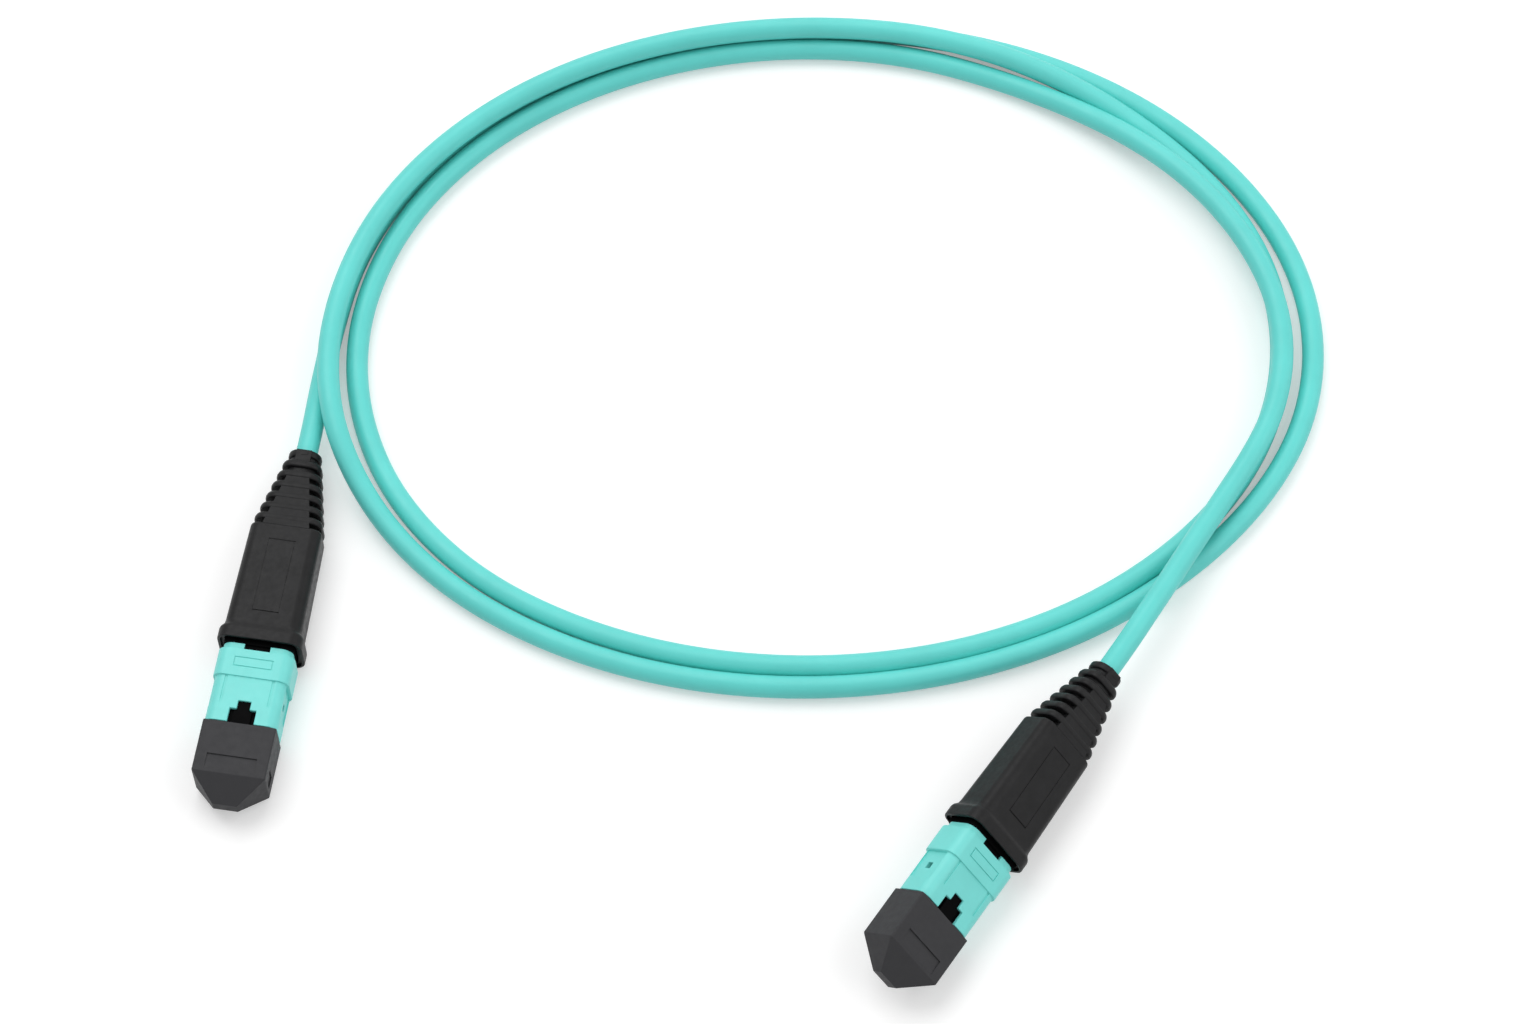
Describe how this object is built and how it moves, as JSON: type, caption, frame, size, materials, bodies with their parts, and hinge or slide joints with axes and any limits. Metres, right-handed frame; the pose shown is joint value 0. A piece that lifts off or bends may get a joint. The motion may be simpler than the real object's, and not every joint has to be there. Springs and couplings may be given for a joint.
{
  "type": "mpo fibre connector",
  "caption": "Fibre patch cord with a push-pull multi-fibre plug, ribbed boot and pointed dust cap on each end of a loosely coiled aqua cable.",
  "frame": {"origin": "middle of connector A's length and width, on the surface it rests on", "axes": "connector A lies flat with its key side up (+Z); its nose points to -Y and its cable leaves to +Y; +X is across its width"},
  "size_m": [0.1781, 0.1878, 0.015],
  "materials": {
    "aqua_plastic": "satin moulded plastic",
    "cable_jacket": "smooth satin cable jacket",
    "black_plastic": "matte moulded plastic",
    "cap_plastic": "fine matte moulded plastic",
    "boot_rubber": "soft matte moulding",
    "soft_rubber": "soft matte",
    "ferrule_resin": "ground resin",
    "steel": "bright",
    "fibre_coating": "coated fibre ribbon"
  },
  "bodies": {
    "patch_cord": {"end_a_plug_housing": "black_plastic", "end_a_back_post": "black_plastic", "end_a_crimp_ring": "steel", "end_a_strain_relief": "boot_rubber", "end_a_fibre_ribbon": "fibre_coating", "end_a_cable_end": "cable_jacket", "end_a_ferrule_spring": "steel", "end_a_coupling_spring_left": "steel", "end_a_coupling_spring_right": "steel", "end_b_plug_housing": "black_plastic", "end_b_back_post": "black_plastic", "end_b_crimp_ring": "steel", "end_b_strain_relief": "boot_rubber", "end_b_fibre_ribbon": "fibre_coating", "end_b_cable_end": "cable_jacket", "end_b_ferrule_spring": "steel", "end_b_coupling_spring_left": "steel", "end_b_coupling_spring_right": "steel", "end_a_cable": "cable_jacket", "end_b_cable": "cable_jacket", "cable_coil": "cable_jacket"},
    "end_a_coupling": {"end_a_coupling": "aqua_plastic", "end_a_retaining_ring": "black_plastic"},
    "end_a_ferrule": {"end_a_ferrule": "ferrule_resin", "end_a_pin_keeper": "black_plastic", "end_a_ferrule_sleeve": "soft_rubber"},
    "end_a_dust_cap": {"end_a_dust_cap": "cap_plastic"},
    "end_b_coupling": {"end_b_coupling": "aqua_plastic", "end_b_retaining_ring": "black_plastic"},
    "end_b_ferrule": {"end_b_ferrule": "ferrule_resin", "end_b_pin_keeper": "black_plastic", "end_b_ferrule_sleeve": "soft_rubber"},
    "end_b_dust_cap": {"end_b_dust_cap": "cap_plastic"}
  },
  "joints": [
    {"name": "end_a_coupling_slide", "type": "slide", "parent": "patch_cord", "child": "end_a_coupling", "axis": [0, 1, 0], "range_m": [0, 0.002], "stiffness_N_per_m": 800, "springref_m": -0.001, "deforming": ["end_a_coupling_spring_left", "end_a_coupling_spring_right"]},
    {"name": "end_a_ferrule_slide", "type": "slide", "parent": "patch_cord", "child": "end_a_ferrule", "axis": [0, 1, 0], "range_m": [0, 0.0008], "stiffness_N_per_m": 2000, "springref_m": -0.003, "deforming": ["end_a_ferrule_spring"]},
    {"name": "end_a_cap_slide", "type": "slide", "parent": "patch_cord", "child": "end_a_dust_cap", "axis": [0, -1, 0], "range_m": [0, 0.03]},
    {"name": "end_b_coupling_slide", "type": "slide", "parent": "patch_cord", "child": "end_b_coupling", "axis": [0.4321, 0.9018, 0], "range_m": [0, 0.002], "stiffness_N_per_m": 800, "springref_m": -0.001, "deforming": ["end_b_coupling_spring_left", "end_b_coupling_spring_right"]},
    {"name": "end_b_ferrule_slide", "type": "slide", "parent": "patch_cord", "child": "end_b_ferrule", "axis": [0.4321, 0.9018, 0], "range_m": [0, 0.0008], "stiffness_N_per_m": 2000, "springref_m": -0.003, "deforming": ["end_b_ferrule_spring"]},
    {"name": "end_b_cap_slide", "type": "slide", "parent": "patch_cord", "child": "end_b_dust_cap", "axis": [-0.4321, -0.9018, 0], "range_m": [0, 0.03]}
  ]
}
